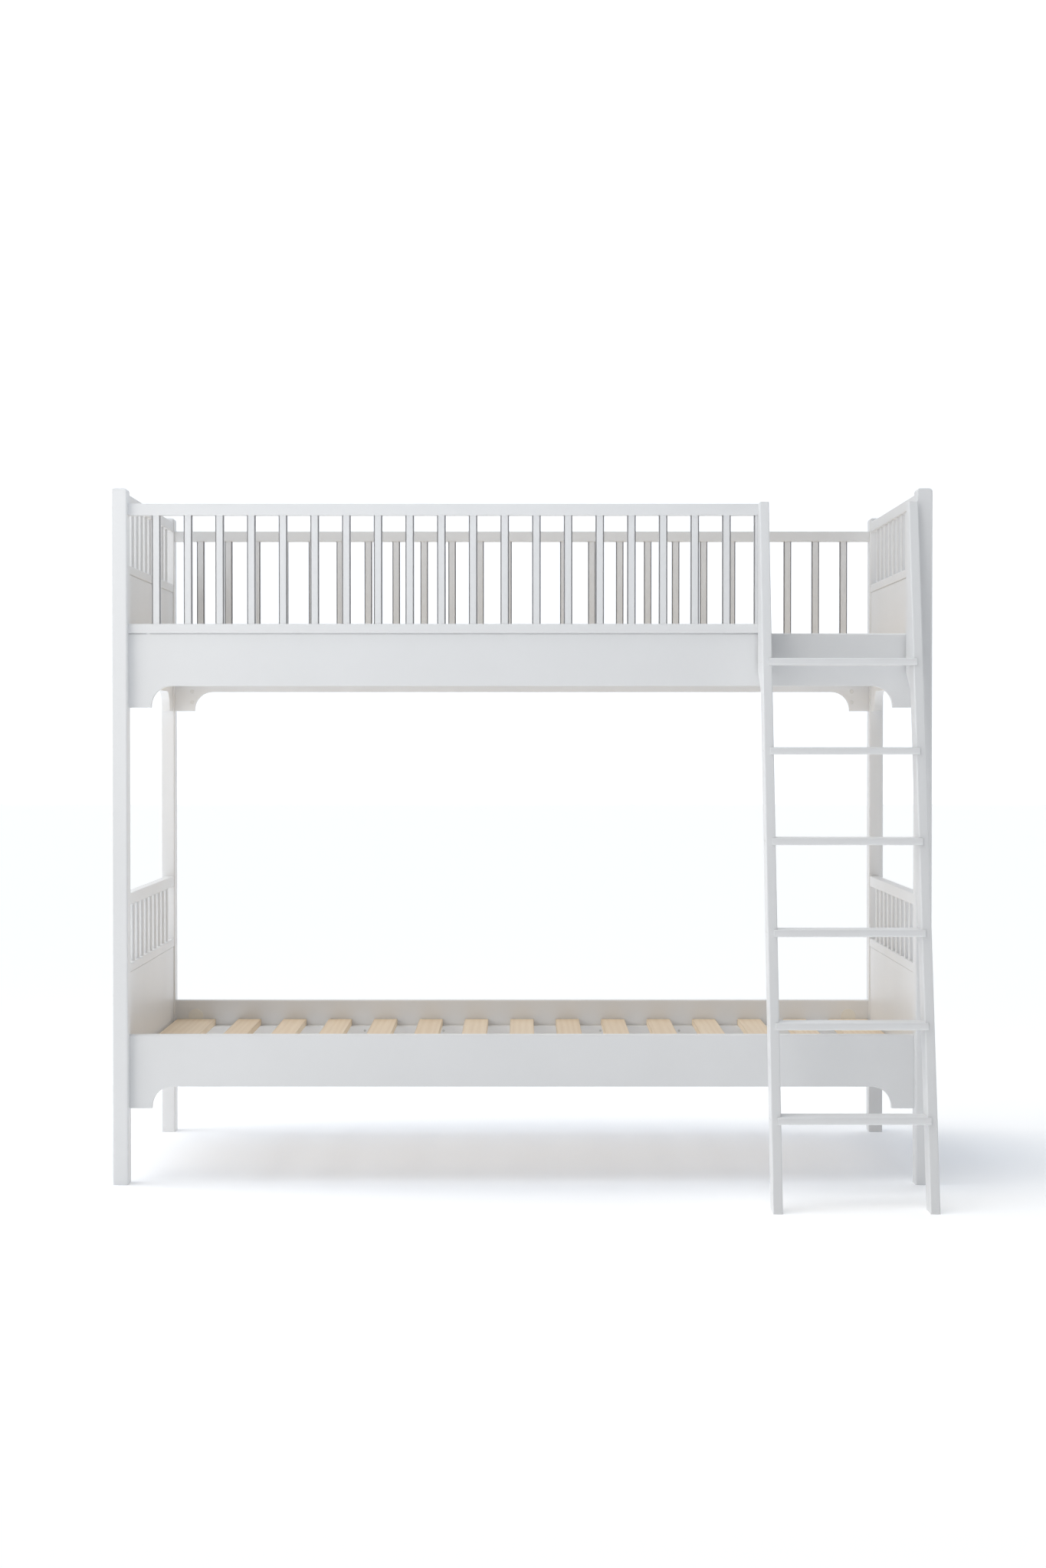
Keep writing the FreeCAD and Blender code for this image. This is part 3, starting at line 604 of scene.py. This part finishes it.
# rings are (radius, height), sunk is how far the head lies below the CAD solid's end,
# short is how far the shank stops before its other end, and turn is the most it is turned at random
woodScrew = {
    "rings": [(0.0038, 0), (0.0038, -0.0003), (0.0020, -0.0021)],
    "shank": 0.0019, "short": 0.0006, "sunk": 0.0003, "sides": 24,
    "recess": crossOutline(0.0021, 0.00045), "depth": 0.0014, "taper": 0.75, "turn": 1.57,
}
plateScrew = {
    "rings": [(0.0028, 0), (0.0028, -0.0002), (0.0015, -0.0014)],
    "shank": 0.0014, "short": 0.0006, "sunk": 0.0001, "sides": 20,
    "recess": crossOutline(0.0015, 0.0003), "depth": 0.0009, "taper": 0.75, "turn": 1.57,
}
hexBolt = {
    "rings": [(0.0043, 0), (0.0049, -0.0006), (0.0049, -0.0039), (0.0029, -0.0040)],
    "shank": 0.0029, "short": 0.0002, "sunk": 0.0, "sides": 28,
    "recess": around(0.0023, 6), "depth": 0.0025, "taper": 0.98, "turn": 1.05,
}
barrelNut = {
    "rings": [(0.0045, 0), (0.0049, -0.0004)],
    "shank": 0.0049, "short": 0.0002, "sunk": 0.0001, "sides": 28,
    "recess": slotOutline(0.0037, 0.0006), "depth": 0.0010, "taper": 0.95, "turn": 0.5,
}
pocketCap = {
    "rings": [(0.0186, 0), (0.0203, -0.0002), (0.0211, -0.0006), (0.0214, -0.0014), (0.0198, -0.0015)],
    "shank": 0.0196, "short": 0.0002, "sunk": 0.0, "sides": 48,
    "recess": around(0.0012, 12), "depth": 0.0003, "taper": 0.8, "turn": 6.28,
}
fasteners = (
    ("cleat_screws", "cleatScrews", inward, woodScrew, zincFinish, "frame", "zinc_steel"),
    ("guard_screws", "guardScrews", upward, woodScrew, zincFinish, "frame", "zinc_steel"),
    ("tread_screws", "treadScrews", awayFromLadder, woodScrew, zincFinish, "ladder", "zinc_steel"),
    ("hook_plate_screws", "hookPlateScrews", backward, plateScrew, zincFinish, "ladder", "zinc_steel"),
    ("bed_bolts", "bedBolts", outward, hexBolt, zincFinish, "frame", "zinc_steel"),
    ("guard_bolts", "guardBolts", outward, hexBolt, zincFinish, "frame", "zinc_steel"),
    ("barrel_nuts", "barrelNuts", inward, barrelNut, nutFinish, "frame", "zinc_steel"),
    ("guard_barrel_nuts", "guardBarrelNuts", intoRail, barrelNut, nutFinish, "frame", "zinc_steel"),
    ("pocket_caps", "pocketCaps", inward, pocketCap, capFinish, "frame", "cap_plastic"),
)

for seed, row in enumerate(fasteners, 11):
    fastenersOn(*row, seed)
print("fasteners and caps in")


slatTape = {"sag": 0.0012, "segments": 10, "bead": 0.0004}
staple = {"wire": 0.0009, "crown": 0.010, "proud": 0.0005, "turn": 0.1}


def tapeStrip(bm, low, high, rests):  # a flat woven strip that hangs a little between the slats
    stops = [low.x] + [x for x in rests if low.x < x < high.x] + [high.x]
    segments = slatTape["segments"]
    bead = slatTape["bead"]
    rows = []
    for a, b in zip(stops, stops[1:]):
        closing = 1 if b == stops[-1] else 0  # the last stretch has the strip's end too
        for i in range(segments + closing):
            share = i / segments
            sag = slatTape["sag"] * max(0.0, math.sin(math.pi * share)) ** 2
            x = a + (b - a) * share
            top = high.z - sag
            foot = low.z - sag
            under = [(low.y, foot + bead), (low.y + bead, foot), (high.y - bead, foot), (high.y, foot + bead)]
            over = [(high.y, top - bead), (high.y - bead, top), (low.y + bead, top), (low.y, top - bead)]
            rows.append([bm.verts.new((x, y, z)) for y, z in under + over])
    for first, second in zip(rows, rows[1:]):
        for i in range(len(first)):
            j = (i + 1) % len(first)
            bm.faces.new((first[i], second[i], second[j], first[j]))
    bm.faces.new(rows[0])
    bm.faces.new(list(reversed(rows[-1])))


for number, level in enumerate(("lower", "upper")):
    body = level + "_base"
    slats = solidsOf(level + "_slats") + solidsOf(level + "_end_slats")
    middles = sorted((low.x + high.x) / 2 for low, high in slats)
    strips = solidsOf(level + "_slat_tapes")
    bm = bmesh.new()
    for low, high in strips:
        tapeStrip(bm, low, high, middles)
    bmesh.ops.recalc_face_normals(bm, faces=bm.faces[:])
    for face in bm.faces:
        face.smooth = abs(face.normal.x) < 0.9
    tape = newObject(level + "SlatTapes", bm)
    tape.data.materials.append(tapeFinish)
    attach(tape, body)
    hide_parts(level + "_slat_tapes")
    points = [(x, (low.y + high.y) / 2, low.z) for low, high in strips for x in middles]
    host = pointsFacing(level + "Staples", points, [(0, 0, -1)] * len(points))
    size = (staple["crown"], staple["wire"], 2 * staple["proud"])
    template = softBar(size, staple["wire"] / 3, staple["wire"] / 4)
    inputs = {"Turn": staple["turn"], "Seed": 31 + number}
    grow(level + "Staples", host, onPoints, template, inputs, zincFinish, body, [])
print("tapes and staples fitted")


floor = {
    "reach": 40.0,
    "colour": (0.93, 0.937, 0.945, 1),
    "paintedGlowBesideBed": (0.09, 0.112, 0.15, 1),  # painted light: a dim bluish glow beside the bed, which leaves the floor's shadow there darker and cooler
    "far": (0.26, 0.26, 0.26, 1),  # and a brighter painted glow away from it, which makes the far floor white
    "middle": (0, 0.21, 0),
    "room": (1.10, 0.55, 1),  # half the size of the oval that the painted glow beside the bed fills
    "fade": 1.5,
}

bm = bmesh.new()
bmesh.ops.create_grid(bm, x_segments=1, y_segments=1, size=floor["reach"])
studioFloor = newObject("studioFloor", bm)
# The floor glows though it is no lamp: painted light, dim and bluish in an oval round the bed and brighter
# beyond it
material, t = newMaterial("studioFloor")
place = t.vector("SUBTRACT", t.node("ShaderNodeTexCoord", out="Object"), floor["middle"])
away = t.vector("LENGTH", t.vector("DIVIDE", place, floor["room"]), (0, 0, 0), "Value")
share = t.node("ShaderNodeClamp", {}, {"Value": (away - 1) * floor["fade"]})
paintedGlow = {"Emission Color": t.mix(share, floor["paintedGlowBesideBed"], floor["far"]), "Emission Strength": 1.0}
t.surface({"Base Color": floor["colour"], "Roughness": 0.9, "Specular IOR Level": 0.1, **paintedGlow})
studioFloor.data.materials.append(material)
studioFloor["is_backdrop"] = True

sky = {  # brightness from each side, and as the camera sees it
    "left": 0.22,
    "right": 0.54,
    "back": 0.70,
    "seen": 1.2,
    "tint": (0.945, 0.988, 1.04, 1),
}

world = bpy.data.worlds.new("studio")
bpy.context.scene.world = world
world.use_nodes = True
world.node_tree.nodes.clear()
t = Tree(world.node_tree)
towards = t.node("ShaderNodeTexCoord", out="Generated")
x = t.node("ShaderNodeSeparateXYZ", {}, {0: towards}, "X")
y = t.node("ShaderNodeSeparateXYZ", {}, {0: towards}, "Y")
right = x.sum("MAXIMUM", x, 0.0) * sky["right"]
left = x.sum("MAXIMUM", 0 - x, 0.0) * sky["left"]
back = x.sum("MAXIMUM", y, 0.0) * sky["back"]
seen = t.node("ShaderNodeLightPath", out="Is Camera Ray") * sky["seen"]
strength = x.sum("MAXIMUM", right + left + back, seen)
backdrop = t.node("ShaderNodeBackground", {}, {"Color": sky["tint"], "Strength": strength})
t.node("ShaderNodeOutputWorld", {}, {"Surface": backdrop})

coolWhite = (0.935, 0.988, 1.05)
warmWhite = (1.03, 1.0, 0.95)
lights = {
    "overheadLight": {
        "kind": "SUN", "energy": 1.36, "spread": 60, "tint": (1, 1, 1),
        "at": (-0.4, -0.07, 1.0), "to": (0, 0, 0),
    },
    "backLight": {
        "kind": "SUN", "energy": 0.34, "spread": 60, "tint": coolWhite,
        "at": (0, 1, 0.8), "to": (0, 0, 0),
    },
    "frontLight": {
        "kind": "SUN", "energy": 0.28, "spread": 25, "tint": warmWhite,
        "at": (-0.5, -1, 0.2), "to": (0, 0, 0),
    },
    "nearSoftbox": {
        "kind": "AREA", "energy": 5.2, "size": 1.0, "tint": warmWhite,
        "at": (-2.0, -1.3, 1.6), "to": (-0.6, 0.1, 0.9),
    },
    "sideSoftbox": {
        "kind": "AREA", "energy": 37.0, "size": 2.4, "tint": coolWhite,
        "at": (-3.4, 0.2, 1.3), "to": (0, 0.2, 0.9),
    },
    "topSoftbox": {
        "kind": "AREA", "energy": 8.0, "size": 2.0, "tint": coolWhite,
        "at": (-0.2, -1.0, 2.7), "to": (0, 0.5, 1.2),
    },
}

for name, spec in lights.items():
    data = bpy.data.lights.new(name, spec["kind"])
    lamp = bpy.data.objects.new(name, data)
    lamp.location = spec["at"]
    lamp.rotation_euler = (Vector(spec["to"]) - Vector(spec["at"])).to_track_quat("-Z", "Y").to_euler()
    bpy.context.scene.collection.objects.link(lamp)
    data.energy = spec["energy"]
    data.color = spec["tint"]
    if spec["kind"] == "SUN":
        data.angle = math.radians(spec["spread"])
    else:
        data.size = spec["size"]

view = {
    "at": (0.003, -7.2215, 1.135),
    "lens": 62.8,
    "tilt": 0.95,  # degrees below level
    "reach": 100,
}
camera = bpy.data.cameras.new("camera")
cameraObject = bpy.data.objects.new("camera", camera)
bpy.context.scene.collection.objects.link(cameraObject)
camera.lens = view["lens"]
camera.clip_end = view["reach"]
cameraObject.location = view["at"]
cameraObject.rotation_euler = (math.radians(90 - view["tilt"]), 0, 0)
bpy.context.scene.camera = cameraObject
bpy.context.scene.view_settings.view_transform = "Standard"
print("studio set")

low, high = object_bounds()
